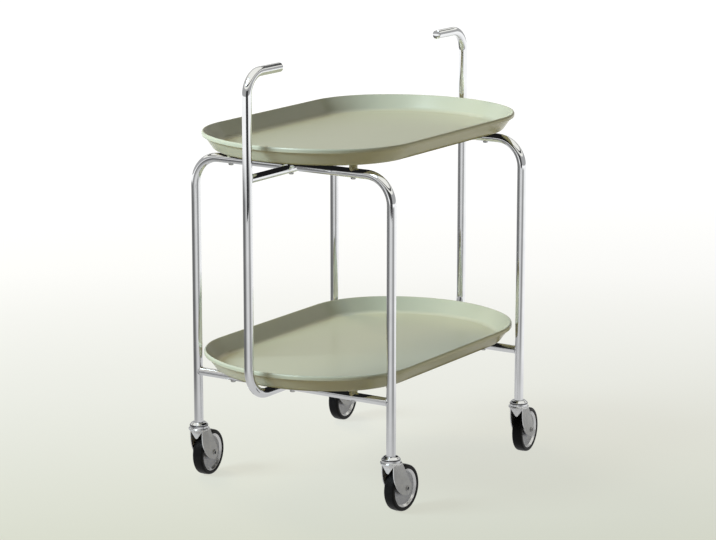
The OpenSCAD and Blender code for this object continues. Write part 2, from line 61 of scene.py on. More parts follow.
def middle(node):
    """The centre of a CAD node's box."""
    low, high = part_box(node)
    return (low + high) / 2


# Tubes, read from the frame
hoop_low, hoop_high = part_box("right_leg_hoop")
bar_low, bar_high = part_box("right_crossbar")
rail_low, rail_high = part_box("top_rail")
handle_low, handle_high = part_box("handle_frame")
TUBE_R = (hoop_high.x - hoop_low.x) / 2
RAIL_R = (bar_high.x - bar_low.x) / 2
HOOP_X = (hoop_high.x + hoop_low.x) / 2
HOOP_Z = hoop_high.z - TUBE_R
LEG_Y = hoop_high.y - TUBE_R
LEG_END_Z = hoop_low.z
CROSSBAR_Z = bar_low.z + RAIL_R
TOP_RAIL_Z = rail_low.z + RAIL_R
BASE_Z = handle_low.z + TUBE_R
GRIP_Z = handle_high.z - TUBE_R
UPRIGHT_X = handle_high.x - TUBE_R
UPPER_LAP_Z = rail_high.z
LOWER_LAP_Z = bar_high.z
HOOP_BEND_R = 45 * MM
GRIP_BEND_R = 35 * MM
BASE_BEND_R = 46.5 * MM
LAP_PLAY = 0.15 * MM
STANDOFF_R = 6.5 * MM
STANDOFF_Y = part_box("upper_standoffs")[1].y - STANDOFF_R
TUBE_SIDES = 56
WELD_REACH = 0.75

# Tray outline and section
tray_low, tray_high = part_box("upper_tray")
TRAY_DEPTH = tray_high.z - tray_low.z
END_R = 209.2 * MM
CORNER_R = 142.7 * MM
CORNER_Y = tray_high.y - CORNER_R
END_X = tray_high.x - END_R
CORNER_X = END_X + math.sqrt((END_R - CORNER_R) ** 2 - CORNER_Y ** 2)
END_ANGLE = math.atan2(CORNER_Y, CORNER_X - END_X)
LIP_H = 7.5 * MM
LIP_OUT = 4 * MM
RIM_W = 2.8 * MM
FLANK_RUN = 15 * MM
SKIN_T = 2.8 * MM
FLOOR_T = 3.5 * MM

# Caster heights, read from one caster
AXLE_Z = middle("front_left_hub").z
CROWN_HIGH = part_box("front_left_ball_cup")[0].z
CROWN_T = 2 * MM
CUP_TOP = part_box("front_left_ball_cup")[1].z
CAP_LOW, CAP_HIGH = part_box("front_left_cap")[0].z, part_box("front_left_cap")[1].z


# Mesh building

def linked(name, data):
    """A new object in the scene."""
    obj = bpy.data.objects.new(name, data)
    bpy.context.scene.collection.objects.link(obj)
    return obj


def piece(name, verts, faces, sharp=35):
    """A smooth-shaded mesh object whose edges past a given angle stay sharp."""
    mesh = bpy.data.meshes.new(name)
    mesh.from_pydata([tuple(v) for v in verts], [], faces)
    mesh.validate()
    mesh.update()
    mesh.polygons.foreach_set("use_smooth", [True] * len(mesh.polygons))
    mesh.set_sharp_from_angle(angle=math.radians(sharp))
    return linked(name, mesh)


class Shell:
    """Vertices and faces gathered from several lofts, for one object."""

    def __init__(self):
        self.verts = []
        self.faces = []

    def loft(self, rings, close=False, start_cap=True, end_cap=True):
        """Quads between rings of equal count; the ends are capped, or the last ring joins the first."""
        base, count = len(self.verts), len(rings[0])
        for ring in rings:
            self.verts += [Vector(p) for p in ring]
        pairs = list(zip(range(len(rings)), range(1, len(rings))))
        if close:
            pairs.append((len(rings) - 1, 0))
        for a, b in pairs:
            for i in range(count):
                j = (i + 1) % count
                self.faces.append((base + a * count + i, base + a * count + j,
                                   base + b * count + j, base + b * count + i))
        if not close and start_cap:
            self.cap(base, count, True)
        if not close and end_cap:
            self.cap(base + (len(rings) - 1) * count, count, False)
        return self

    def cap(self, first, count, flip):
        """A fan from the middle of a ring."""
        ring = range(first, first + count)
        self.verts.append(sum((self.verts[i] for i in ring), Vector()) / count)
        hub = len(self.verts) - 1
        for i in range(count):
            a, b = first + i, first + (i + 1) % count
            self.faces.append((hub, b, a) if flip else (hub, a, b))

    def object(self, name, sharp=35):
        return piece(name, self.verts, self.faces, sharp)


def fillet(corners, closed=True):
    """Points of an outline whose corners (point, radius, steps) are rounded off."""
    points = []
    count = len(corners)
    for i, (v, radius, steps) in enumerate(corners):
        v = Vector(v)
        if radius == 0 or (not closed and i in (0, count - 1)):
            points.append(v)
            continue
        p = (Vector(corners[i - 1][0]) - v).normalized()
        q = (Vector(corners[(i + 1) % count][0]) - v).normalized()
        half = math.acos(max(-1, min(1, p.dot(q)))) / 2
        c = v + (p + q).normalized() * radius / math.sin(half)
        start, end = v + p * radius / math.tan(half) - c, v + q * radius / math.tan(half) - c
        a0 = math.atan2(start.y, start.x)
        sweep = (math.atan2(end.y, end.x) - a0 + math.pi) % (2 * math.pi) - math.pi
        for k in range(steps + 1):
            a = a0 + sweep * k / steps
            points.append(c + radius * Vector((math.cos(a), math.sin(a))))
    return points


def lathe_rings(profile, sides=64, turn=lambda p: p):
    """Rings round +Z from a profile of (radius, height)."""
    return [[turn(Vector((r * math.cos(2 * math.pi * i / sides), r * math.sin(2 * math.pi * i / sides), z)))
             for i in range(sides)] for r, z in profile]


def sweep(points, tangents, across, radius, sides, shape=lambda p: p):
    """Rings of a round tube along a path in one plane, whose normal is across."""
    rings = []
    for p, t in zip(points, tangents):
        side = across.cross(t).normalized()
        rings.append([shape(p + radius * (math.cos(2 * math.pi * i / sides) * across
                                          + math.sin(2 * math.pi * i / sides) * side))
                      for i in range(sides)])
    return rings


def bent_path(corners, radii, step=4 * MM, bend_steps=20):
    """Points and tangents along straight runs joined by round bends."""
    points, tangents = [], []
    start = corners[0]
    for i in range(1, len(corners)):
        direction = (corners[i] - corners[i - 1]).normalized()
        last = i == len(corners) - 1
        bend = 0 if last else radii[i - 1]
        end = corners[i] - direction * bend
        runs = max(1, round((end - start).length / step))
        for k in range(runs + 1):
            points.append(start.lerp(end, k / runs))
            tangents.append(direction)
        if last:
            break
        onward = (corners[i + 1] - corners[i]).normalized()
        centre = end + onward * bend
        for k in range(1, bend_steps):
            a = math.pi / 2 * k / bend_steps
            points.append(centre - onward * bend * math.cos(a) + direction * bend * math.sin(a))
            tangents.append(direction * math.cos(a) + onward * math.sin(a))
        start = corners[i] + onward * bend
    return points, tangents


def pressed(axis, places, half, lap_z, above):
    """A tube's shape with a flat pressed into it at each place along an axis, easing out past half."""
    ease = 7 * MM
    rise = 4 * MM

    def shape(p):
        for place in places:
            past = (abs(p[axis] - place) - half) / ease
            if past < 1:
                k = max(0, past)
                lift = rise * k * k
                if above:
                    p.z = min(p.z, lap_z + lift)
                else:
                    p.z = max(p.z, lap_z - lift)
        return p
    return shape


def weld_bead(shell, centre, bar_axis, out, bar_r, leg_r, bead_r=0.9 * MM, sides=8, around=56):
    """A thin bead where a bar of radius bar_r meets an upright tube of radius leg_r."""
    up = Vector((0, 0, 1))
    side = bar_axis.cross(up)
    rings = []
    for k in range(around):
        t = 2 * math.pi * k / around
        across, high = bar_r * math.cos(t), bar_r * math.sin(t)
        reach = math.sqrt(leg_r ** 2 - across ** 2)
        p = centre + side * across + up * high + bar_axis * out * reach
        outward = (side * math.cos(t) + up * math.sin(t)).normalized()
        along = bar_axis * out
        rings.append([p + bead_r * (math.cos(2 * math.pi * i / sides) * outward
                                    + math.sin(2 * math.pi * i / sides) * along) for i in range(sides)])
    shell.loft(rings, close=True)


# Materials

def material(name, colour, metallic=0.0, roughness=0.5, **sockets):
    """A Principled material, its node tree and its shader."""
    mat = bpy.data.materials.new(name)
    mat.use_nodes = True
    tree = mat.node_tree
    shader = tree.nodes["Principled BSDF"]
    shader.inputs["Base Color"].default_value = (*colour, 1)
    shader.inputs["Metallic"].default_value = metallic
    shader.inputs["Roughness"].default_value = roughness
    for socket, value in sockets.items():
        shader.inputs[socket.replace("_", " ")].default_value = value
    return mat, tree, shader


def noise(tree, scale, detail=3.0, stretch=(1, 1, 1)):
    """Noise in object coordinates, in metres."""
    coords = tree.nodes.new("ShaderNodeTexCoord")
    mapping = tree.nodes.new("ShaderNodeMapping")
    mapping.inputs["Scale"].default_value = stretch
    tex = tree.nodes.new("ShaderNodeTexNoise")
    tex.inputs["Scale"].default_value = scale
    tex.inputs["Detail"].default_value = detail
    tree.links.new(coords.outputs["Object"], mapping.inputs["Vector"])
    tree.links.new(mapping.outputs["Vector"], tex.inputs["Vector"])
    return tex.outputs["Fac"]


def ranged(tree, value, low, high, start=0.3, end=0.7):
    """The value mapped from start..end to low..high."""
    node = tree.nodes.new("ShaderNodeMapRange")
    for socket, number in (("From Min", start), ("From Max", end), ("To Min", low), ("To Max", high)):
        node.inputs[socket].default_value = number
    tree.links.new(value, node.inputs["Value"])
    return node.outputs["Result"]


def mixed(tree, factor, first, second):
    """A colour between two colours."""
    node = tree.nodes.new("ShaderNodeMix")
    node.data_type = "RGBA"
    for index, colour in ((6, first), (7, second)):
        if isinstance(colour, tuple):
            node.inputs[index].default_value = (*colour, 1)
        else:
            tree.links.new(colour, node.inputs[index])
    tree.links.new(factor, node.inputs[0])
    return node.outputs[2]


def tinted(tree, shader, value, first, second, start=0.3, end=0.7):
    """The base colour goes from the first to the second as the value goes from start to end."""
    tint = mixed(tree, ranged(tree, value, 0, 1, start, end), first, second)
    tree.links.new(tint, shader.inputs["Base Color"])


def roughened(tree, shader, value, low, high, start=0.3, end=0.7):
    """The roughness goes from low to high as the value goes from start to end."""
    tree.links.new(ranged(tree, value, low, high, start, end), shader.inputs["Roughness"])


def bumped(tree, shader, height, strength, distance):
    """A fine relief that follows the height value."""
    node = tree.nodes.new("ShaderNodeBump")
    node.inputs["Strength"].default_value = strength
    node.inputs["Distance"].default_value = distance
    tree.links.new(height, node.inputs["Height"])
    tree.links.new(node.outputs["Normal"], shader.inputs["Normal"])


def tray_lacquer():
    """Sage green lacquer: satin, with faint clouding and handling marks."""
    mat, tree, shader = material("tray_lacquer", (0.5, 0.51, 0.385), roughness=0.25, Specular_IOR_Level=0.75)
    clouds = noise(tree, 9, 4)
    tinted(tree, shader, clouds, (0.5, 0.508, 0.387), (0.484, 0.495, 0.377))
    roughened(tree, shader, clouds, 0.24, 0.27)
    return mat


def chrome(name, tone, smooth, rough):
    """Chrome plate: bright, with faint smears and a slight waviness from polishing."""
    mat, tree, shader = material(name, tone, metallic=1.0, roughness=smooth)
    roughened(tree, shader, noise(tree, 90, 5, (1, 1, 0.35)), smooth, rough, 0.35, 0.75)
    dull = tuple(0.93 * c for c in tone)
    tinted(tree, shader, noise(tree, 35, 3), tone, dull)
    bumped(tree, shader, noise(tree, 45, 2), 0.25, 0.06 * MM)
    return mat


def fork_steel():
    """Bright zinc plate over rolled sheet: grey, brushed along the sheet."""
    mat, tree, shader = material("fork_steel", (0.47, 0.475, 0.48), metallic=0.75, roughness=0.36)
    grain = noise(tree, 160, 4, (1, 1, 0.12))
    roughened(tree, shader, grain, 0.3, 0.42)
    tinted(tree, shader, noise(tree, 70, 3), (0.49, 0.495, 0.5), (0.42, 0.425, 0.435))
    bumped(tree, shader, grain, 0.15, 0.03 * MM)
    return mat


def fork_painted_highlight():
    """The fork's plate made lighter and shinier for the crown, the tongue and the cheeks' edges: a painted
    highlight.
    """
    mat, tree, shader = material("fork_painted_highlight", (0.84, 0.845, 0.85), metallic=0.85, roughness=0.2)
    roughened(tree, shader, noise(tree, 200, 3), 0.16, 0.3)
    tinted(tree, shader, noise(tree, 60, 2), (0.88, 0.885, 0.89), (0.76, 0.765, 0.775))
    return mat


def hub_plastic():
    """Grey nylon moulded with a metallic flake."""
    mat, tree, shader = material("hub_plastic", (0.43, 0.44, 0.475), metallic=0.65, roughness=0.4)
    tinted(tree, shader, noise(tree, 120, 3), (0.46, 0.47, 0.505), (0.39, 0.4, 0.44))
    roughened(tree, shader, noise(tree, 400, 2), 0.38, 0.5)
    bumped(tree, shader, noise(tree, 900, 2), 0.1, 0.05 * MM)
    return mat


def hub_ring_painted_highlight():
    """The hub's raised ring: the same nylon made lighter and metallic, a painted highlight."""
    mat, tree, shader = material("hub_ring_painted_highlight", (0.78, 0.785, 0.79), metallic=0.9, roughness=0.18)
    roughened(tree, shader, noise(tree, 260, 3), 0.16, 0.3)
    tinted(tree, shader, noise(tree, 90, 2), (0.8, 0.805, 0.81), (0.72, 0.725, 0.73))
    return mat


def tyre_rubber():
    """Black rubber with a little dust on it."""
    mat, tree, shader = material("tyre_rubber", (0.006, 0.006, 0.0065), roughness=0.35,
                                 Specular_IOR_Level=0.14)
    dust = noise(tree, 150, 6)
    tinted(tree, shader, dust, (0.005, 0.005, 0.0055), (0.012, 0.012, 0.0115), 0.5, 0.85)
    roughened(tree, shader, dust, 0.3, 0.42)
    bumped(tree, shader, noise(tree, 1200, 2), 0.2, 0.05 * MM)
    return mat


def screw_steel():
    """Plain bright steel, lightly scratched."""
    mat, tree, shader = material("screw_steel", (0.56, 0.56, 0.55), metallic=1.0, roughness=0.28)
    roughened(tree, shader, noise(tree, 500, 4, (1, 0.2, 1)), 0.2, 0.38)
    tinted(tree, shader, noise(tree, 200, 3), (0.6, 0.6, 0.59), (0.46, 0.46, 0.45))
    return mat


def caster_steel():
    """Dark steel, a little oily."""
    mat, tree, shader = material("caster_steel", (0.1, 0.1, 0.105), metallic=0.9, roughness=0.35)
    roughened(tree, shader, noise(tree, 420, 4), 0.28, 0.45)
    tinted(tree, shader, noise(tree, 180, 3), (0.12, 0.12, 0.125), (0.08, 0.08, 0.085))
    return mat


def socket_plastic():
    """Dark grey push-in plastic."""
    mat, tree, shader = material("socket_plastic", (0.045, 0.045, 0.047), roughness=0.5)
    tinted(tree, shader, noise(tree, 300, 3), (0.05, 0.05, 0.052), (0.035, 0.035, 0.037))
    roughened(tree, shader, noise(tree, 500, 2), 0.42, 0.58)
    return mat


MATERIALS = {
    "tray_lacquer": tray_lacquer(),
    "chrome_tube": chrome("chrome_tube", (0.86, 0.87, 0.88), 0.035, 0.09),
    "caster_chrome": chrome("caster_chrome", (0.8, 0.81, 0.82), 0.08, 0.17),
    "fork_steel": fork_steel(),
    "hub_plastic": hub_plastic(),
    "tyre_rubber": tyre_rubber(),
    "screw_steel": screw_steel(),
    "caster_steel": caster_steel(),
    "socket_plastic": socket_plastic(),
}
# A lighter copy of the hub's nylon: a painted highlight on the raised ring.
HUB_RING_PAINTED_HIGHLIGHT = hub_ring_painted_highlight()
# A lighter copy of the fork's plate: a painted highlight.
FORK_PAINTED_HIGHLIGHT = fork_painted_highlight()


def second_finish(obj, mat, chosen):
    """Gives a second material to the faces that a test picks by their centre and normal."""
    obj.data.materials.append(mat)
    for face in obj.data.polygons:
        if chosen(face.center, face.normal):
            face.material_index = 1


def dress(obj, slot, body, *nodes):
    """The piece takes a slot's finish, rides a body and stands for CAD nodes."""
    if not obj.data.materials:
        obj.data.materials.append(MATERIALS[slot])
    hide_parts(*nodes)
    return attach(obj, body)


# Trays

def outline_samples():
    """Points and outward normals round the tray's outline, from the right end, counterclockwise."""
    samples = []

    def arc(cx, cy, r, a0, a1, steps):
        for k in range(steps):
            a = a0 + (a1 - a0) * k / steps
            n = Vector((math.cos(a), math.sin(a), 0))
            samples.append((Vector((cx, cy, 0)) + r * n, n))

    half_turn = math.pi
    quarter = half_turn / 2
    end_steps, corner_steps = 48, 32
    for flip in (0, half_turn):
        s = 1 if flip == 0 else -1
        arc(s * END_X, 0, END_R, flip - END_ANGLE, flip + END_ANGLE, end_steps)
        arc(s * CORNER_X, s * CORNER_Y, CORNER_R, flip + END_ANGLE, flip + quarter, corner_steps)
        arc(-s * CORNER_X, s * CORNER_Y, CORNER_R, flip + quarter, flip + half_turn - END_ANGLE, corner_steps)
    return samples


def tray_section():
    """The tray's section as (inset from the rim's edge, height below the rim), from floor to underside."""
    lean = math.atan2(FLANK_RUN, TRAY_DEPTH - LIP_H)
    skin_run = SKIN_T / math.cos(lean)
    floor_z = FLOOR_T - TRAY_DEPTH
    crease = 0.45 * MM
    lip_top, lip_shoulder = 1.3 * MM, 2.2 * MM
    inward = 60 * MM
    floor_in = LIP_OUT + FLANK_RUN + skin_run - FLOOR_T * math.tan(lean)
    corners = [
        ((inward, floor_z), 0, 0),
        ((floor_in, floor_z), 12 * MM, 10),
        ((RIM_W, 0), 0.7 * MM, 5),
        ((lip_top, 0), 1.2 * MM, 6),
        ((0, -lip_shoulder), 3.2 * MM, 7),
        ((0, -LIP_H), 1.6 * MM, 7),
        ((LIP_OUT + crease, -LIP_H), 0.2 * MM, 3),
        ((LIP_OUT + crease, -LIP_H - crease / math.tan(lean)), 0.4 * MM, 3),
        ((LIP_OUT + FLANK_RUN, -TRAY_DEPTH), 8 * MM, 9),
        ((inward, -TRAY_DEPTH), 0, 0),
    ]
    return fillet(corners, closed=False)


def tray(node):
    """One moulding: thick lip, leaning flank and flat floor."""
    rim_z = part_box(node)[1].z
    samples = outline_samples()
    rings = [[p - inset * n + Vector((0, 0, rim_z + z)) for p, n in samples]
             for inset, z in tray_section()]
    obj = Shell().loft(rings).object(node + "_moulding", sharp=50)
    return dress(obj, "tray_lacquer", "frame", node)


def standoff_set(node, axis_z, r):
    """Four bosses, each saddled on the tube below and rounded where it meets the tray."""
    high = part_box(node)[1]
    shell = Shell()
    radius, edge = STANDOFF_R, 0.8 * MM
    sides = 40
    for sx in (LEFT, RIGHT):
        for sy in (LEFT, RIGHT):
            centre = Vector((sx * HOOP_X, sy * STANDOFF_Y, 0))

            def ring(ring_r, height):
                points = []
                for i in range(sides):
                    a = 2 * math.pi * i / sides
                    p = centre + Vector((ring_r * math.cos(a), ring_r * math.sin(a), 0))
                    saddle = axis_z + math.sqrt(max(r * r - (p.x - centre.x) ** 2, 0))
                    p.z = saddle if height is None else max(height, saddle)
                    points.append(p)
                return points

            shell.loft([ring(3 * MM, None), ring(radius - 0.4 * MM, None), ring(radius, None),
                        ring(radius, high.z - edge), ring(radius - 0.25 * edge, high.z - 0.3 * edge),
                        ring(radius - edge, high.z)])
    return dress(shell.object(node + "_bosses"), "tray_lacquer", "frame", node)


def screw_set(node, axis_z, r, places, along_x):
    """Pan heads with a hexagon socket, nested on a tube, and their shanks."""
    low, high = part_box(node)
    head_r, shank_r, socket_r = 4.3 * MM, 2.5 * MM, 1.5 * MM
    socket_h = 1.5 * MM
    sides = 48
    shell = Shell()
    for x, y in places:
        def ring(ring_r, z, hexagon=False, nest=False):
            points = []
            for i in range(sides):
                a = 2 * math.pi * i / sides
                k = math.cos(math.pi / 6) / math.cos(a % (math.pi / 3) - math.pi / 6) if hexagon else 1
                p = Vector((ring_r * k * math.cos(a), ring_r * k * math.sin(a), z))
                if nest:
                    across = p.y if along_x else p.x
                    p.z = axis_z - math.sqrt(r * r - across * across)
                points.append(p + Vector((x, y, 0)))
            return points

        head_z = low.z
        shell.loft([
            ring(socket_r * 0.3, head_z + socket_h, True), ring(socket_r, head_z + socket_h, True),
            ring(socket_r, head_z + 0.25 * MM, True), ring(socket_r + 0.2 * MM, head_z, True),
            ring(head_r * 0.62, head_z), ring(head_r * 0.8, head_z + 0.2 * MM),
            ring(head_r * 0.93, head_z + 0.7 * MM), ring(head_r, head_z + 1.5 * MM),
            ring(head_r, 0, nest=True),
            ring(shank_r, 0, nest=True), ring(shank_r, high.z - 0.5 * MM), ring(shank_r - 0.5 * MM, high.z),
        ])
    return dress(shell.object(node + "_pan_heads"), "screw_steel", "frame", node)


# Frame

def leg_hoop(side):
    """An upside-down U of tube, pressed flat below where the top rail passes."""
    x = SIDES[side] * HOOP_X
    corners = [Vector((x, -LEG_Y, LEG_END_Z)), Vector((x, -LEG_Y, HOOP_Z)),
               Vector((x, LEG_Y, HOOP_Z)), Vector((x, LEG_Y, LEG_END_Z))]
    points, tangents = bent_path(corners, [HOOP_BEND_R, HOOP_BEND_R])
    flat = pressed(1, [0], RAIL_R + LAP_PLAY, UPPER_LAP_Z, above=False)
    rings = sweep(points, tangents, Vector((1, 0, 0)), TUBE_R, TUBE_SIDES, flat)
    obj = Shell().loft(rings).object(side + "_leg_hoop_tube")
    return dress(obj, "chrome_tube", "frame", side + "_leg_hoop")


def crossbar(side):
    """A bar between two legs, welded to both and flat on top where the handle frame crosses."""
    x = SIDES[side] * HOOP_X
    inside = LEG_Y - TUBE_R * WELD_REACH
    points, tangents = bent_path([Vector((x, -inside, CROSSBAR_Z)), Vector((x, inside, CROSSBAR_Z))], [])
    flat = pressed(1, [0], TUBE_R + LAP_PLAY, LOWER_LAP_Z, above=True)
    shell = Shell().loft(sweep(points, tangents, Vector((1, 0, 0)), RAIL_R, TUBE_SIDES, flat))
    for t in (LEFT, RIGHT):
        weld_bead(shell, Vector((x, t * LEG_Y, CROSSBAR_Z)), Vector((0, 1, 0)), -t, RAIL_R, TUBE_R)
    return dress(shell.object(side + "_crossbar_tube"), "chrome_tube", "frame", side + "_crossbar")


def top_rail():
    """A bar between the uprights, welded to both and flat on top under each hoop."""
    inside = UPRIGHT_X - TUBE_R * WELD_REACH
    points, tangents = bent_path([Vector((-inside, 0, TOP_RAIL_Z)), Vector((inside, 0, TOP_RAIL_Z))], [])
    flat = pressed(0, [-HOOP_X, HOOP_X], TUBE_R + LAP_PLAY, UPPER_LAP_Z, above=True)
    shell = Shell().loft(sweep(points, tangents, Vector((0, 1, 0)), RAIL_R, TUBE_SIDES, flat))
    for s in (LEFT, RIGHT):
        weld_bead(shell, Vector((s * UPRIGHT_X, 0, TOP_RAIL_Z)), Vector((1, 0, 0)), -s, RAIL_R, TUBE_R)
    return dress(shell.object("top_rail_tube"), "chrome_tube", "frame", "top_rail")


def handle_frame():
    """Grip, upright, base run, upright and grip, bent from one tube."""
    cap_low, cap_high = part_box("right_grip_cap")
    longest_plug = 10 * MM
    grip_x = max(cap_low.x, cap_high.x - longest_plug)
    up, down = GRIP_Z, BASE_Z
    corners = [Vector((-grip_x, 0, up)), Vector((-UPRIGHT_X, 0, up)), Vector((-UPRIGHT_X, 0, down)),
               Vector((UPRIGHT_X, 0, down)), Vector((UPRIGHT_X, 0, up)), Vector((grip_x, 0, up))]
    points, tangents = bent_path(corners, [GRIP_BEND_R, BASE_BEND_R, BASE_BEND_R, GRIP_BEND_R])
    flat = pressed(0, [-HOOP_X, HOOP_X], RAIL_R + LAP_PLAY, LOWER_LAP_Z, above=False)

    def shape(p):
        return flat(p) if p.z < (up + down) / 2 else p

    rings = sweep(points, tangents, Vector((0, 1, 0)), TUBE_R, TUBE_SIDES, shape)
    return dress(Shell().loft(rings).object("handle_frame_tube"), "chrome_tube", "frame", "handle_frame")


def grip_cap(side):
    """A shallow dome over the end of a grip, with a small step at the tube."""
    low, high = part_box(side + "_grip_cap")
    s = SIDES[side]
    tip = low.x if s == RIGHT else high.x
    dome_h = 1.2 * MM
    plug_r, plug_l = TUBE_R - 1.6 * MM, 9 * MM
    profile = [(0.4 * MM, 0), (TUBE_R * 0.35, 0.06 * MM), (TUBE_R * 0.6, 0.2 * MM),
               (TUBE_R * 0.8, 0.48 * MM), (TUBE_R * 0.93, 0.8 * MM), (TUBE_R * 0.985, 1.0 * MM),
               (TUBE_R * 0.985, dome_h),
               (plug_r, dome_h + 0.1 * MM), (plug_r, dome_h + plug_l)]
    rings = lathe_rings(profile, TUBE_SIDES, lambda p: Vector((tip + s * p.z, p.y, GRIP_Z + p.x)))
    obj = Shell().loft(rings).object(side + "_grip_dome")
    return dress(obj, "chrome_tube", "frame", side + "_grip_cap")


# Casters

CROWN_BORE = 4.1 * MM
CROWN_R = 17 * MM
FORK_FRONT = 9.4 * MM


class Caster:
    """One caster's place and direction, read from its CAD nodes."""

    def __init__(self, name):
        self.name = name
        stem, hub = middle(name + "_stem"), middle(name + "_hub")
        self.place = Vector((stem.x, stem.y, 0))
        ahead = Vector((hub.x - stem.x, hub.y - stem.y, 0))
        self.trail = ahead.length
        self.frame = Matrix.Translation(self.place) @ Matrix.Rotation(math.atan2(ahead.y, ahead.x), 4, "Z")

    def put(self, obj, part, slot, body):
        """Places a piece drawn round the swivel axis and dresses it."""
        obj.data.transform(self.frame)
        return dress(obj, slot, body if body == "frame" else self.name + body, self.name + "_" + part)

    def put_on_axle(self, obj, part, slot, body):
        """Places a piece drawn round +Z and turns it onto the axle."""
        obj.data.transform(self.frame @ Matrix.Translation((self.trail, 0, AXLE_Z))
                           @ Matrix.Rotation(math.pi / 2, 4, "X"))
        return dress(obj, slot, self.name + body, self.name + "_" + part)


def caster_cap(caster):
    """A low spun dome from its rim up to the foot of the leg."""
    rim_r, top_r, bore_r = 14.7 * MM, TUBE_R + 1.1 * MM, CROWN_BORE
    profile = fillet([
        ((bore_r, CAP_LOW), 0, 0), ((rim_r, CAP_LOW), 0.3 * MM, 4),
        ((rim_r - 0.1 * MM, CAP_LOW + 1.1 * MM), 0.4 * MM, 4),
        ((rim_r - 3.6 * MM, CAP_HIGH - 0.3 * MM), 3 * MM, 8),
        ((top_r, CAP_HIGH), 0, 0), ((TUBE_R - 0.4 * MM, CAP_HIGH), 0, 0),
        ((bore_r, CAP_HIGH - 0.1 * MM), 0, 0),
    ])
    obj = Shell().loft(lathe_rings(profile, 72), close=True).object(caster.name + "_cap_dome")
    return caster.put(obj, "cap", "caster_chrome", "frame")


def caster_ball_cup(caster):
    """A shallow cup with a rolled edge, riding on the crown."""
    cup_r, wall_r, wall, bore = CROWN_R, 14.9 * MM, 1.3 * MM, 4.5 * MM
    flange_z, floor_z = CROWN_HIGH + 1 * MM, CROWN_HIGH + 1.2 * MM
    profile = fillet([
        ((bore, CROWN_HIGH), 0, 0), ((cup_r, CROWN_HIGH), 0.3 * MM, 3), ((cup_r, flange_z), 0.45 * MM, 4),
        ((wall_r, flange_z), 0.8 * MM, 5), ((wall_r, CUP_TOP), 0.5 * MM, 4),
        ((wall_r - wall, CUP_TOP), 0.5 * MM, 4), ((wall_r - wall, floor_z), 0.8 * MM, 4),
        ((bore, floor_z), 0, 0),
    ])
    obj = Shell().loft(lathe_rings(profile, 72), close=True).object(caster.name + "_ball_cup_shell")
    return caster.put(obj, "ball_cup", "caster_chrome", "_swivel")


def plate(shell, outline, low, high, edge, turn):
    """A flat plate with rounded edges: its outline, drawn in 2D, between two heights."""
    count = len(outline)

    def inset(d):
        points = []
        for i, v in enumerate(outline):
            p = (v - outline[i - 1]).normalized()
            q = (outline[(i + 1) % count] - v).normalized()
            n, m = Vector((-p.y, p.x)), Vector((-q.y, q.x))
            points.append(v + (n + m) * d / max(0.6, 1 + n.dot(m)))
        return points

    levels = [(edge, low), (0.3 * edge, low + 0.3 * edge), (0, low + edge),
              (0, high - edge), (0.3 * edge, high - 0.3 * edge), (edge, high)]
    rings = [[turn(Vector((p.x, p.y, z))) for p in inset(d)] for d, z in levels]
    shell.loft(rings, start_cap=False, end_cap=False)
    first = len(shell.verts) - len(levels) * count
    shell.faces.append(tuple(reversed(range(first, first + count))))
    last = len(shell.verts) - count
    shell.faces.append(tuple(range(last, last + count)))


def cheek_outline(caster):
    """One cheek in side view, as (ahead, up): a swept front, a round end at the axle, a straight rear."""
    front, sweep_r, cheek_r, rear_x = FORK_FRONT, 47 * MM, 11.5 * MM, 13.7 * MM
    top = CROWN_HIGH - 0.4 * MM
    axle = Vector((caster.trail, AXLE_Z))
    sweep_x = sweep_r - front
    sweep_z = AXLE_Z + math.sqrt((sweep_r - cheek_r) ** 2 - (sweep_x - caster.trail) ** 2)
    touch = math.atan2(AXLE_Z - sweep_z, caster.trail - sweep_x)
    rear = Vector((rear_x, top))
    reach = (rear - axle).length
    leave = math.atan2(rear.y - axle.y, rear.x - axle.x) - math.acos(cheek_r / reach)
    steps = 28
    points = [Vector((-front, top))]
    for k in range(steps + 1):
        a = -math.pi + (touch + math.pi) * k / steps
        points.append(Vector((sweep_x, sweep_z)) + sweep_r * Vector((math.cos(a), math.sin(a))))
    for k in range(1, steps + 1):
        a = touch + (leave - touch) * k / steps
        points.append(axle + cheek_r * Vector((math.cos(a), math.sin(a))))
    points.append(rear)
    return points


def caster_fork(caster):
    """Pressed steel: a round crown, two cheeks and a pointed tongue at the front."""
    shell = Shell()
    crown_low = CROWN_HIGH - CROWN_T
    half_w, sheet_t, edge = 10 * MM, 2 * MM, 0.55 * MM
    crown = fillet([((CROWN_BORE, crown_low), 0, 0), ((CROWN_R, crown_low), 0.8 * MM, 5),
                    ((CROWN_R, CROWN_HIGH), 0.8 * MM, 5), ((CROWN_BORE, CROWN_HIGH), 0, 0)])
    shell.loft(lathe_rings(crown, 72), close=True)
    outline = cheek_outline(caster)
    for y in (-half_w - sheet_t, half_w):
        plate(shell, outline, y, y + sheet_t, edge, lambda p: Vector((p.x, p.z, p.y)))
    tip_w, tongue_h = 1.7 * MM, 14.5 * MM
    wide, top, tip_z = half_w + sheet_t, CROWN_HIGH - 0.4 * MM, crown_low - tongue_h
    tongue = fillet([((-wide, top), 0, 0), ((-wide, crown_low), 0.6 * MM, 3), ((-tip_w, tip_z), 1.2 * MM, 6),
                     ((tip_w, tip_z), 1.2 * MM, 6), ((wide, crown_low), 0.6 * MM, 3), ((wide, top), 0, 0)])
    plate(shell, tongue, -FORK_FRONT, -FORK_FRONT + sheet_t, edge, lambda p: Vector((p.z, p.x, p.y)))
    obj = shell.object(caster.name + "_fork_pressing")
    obj.data.materials.append(MATERIALS["fork_steel"])
    # The crown, the tongue and the cheeks' edges take the lighter copy of the plate: a painted highlight.
    second_finish(obj, FORK_PAINTED_HIGHLIGHT, lambda c, n: c.z > crown_low - 0.1 * MM or abs(n.y) < 0.5)
    return caster.put(obj, "fork", "fork_steel", "_swivel")


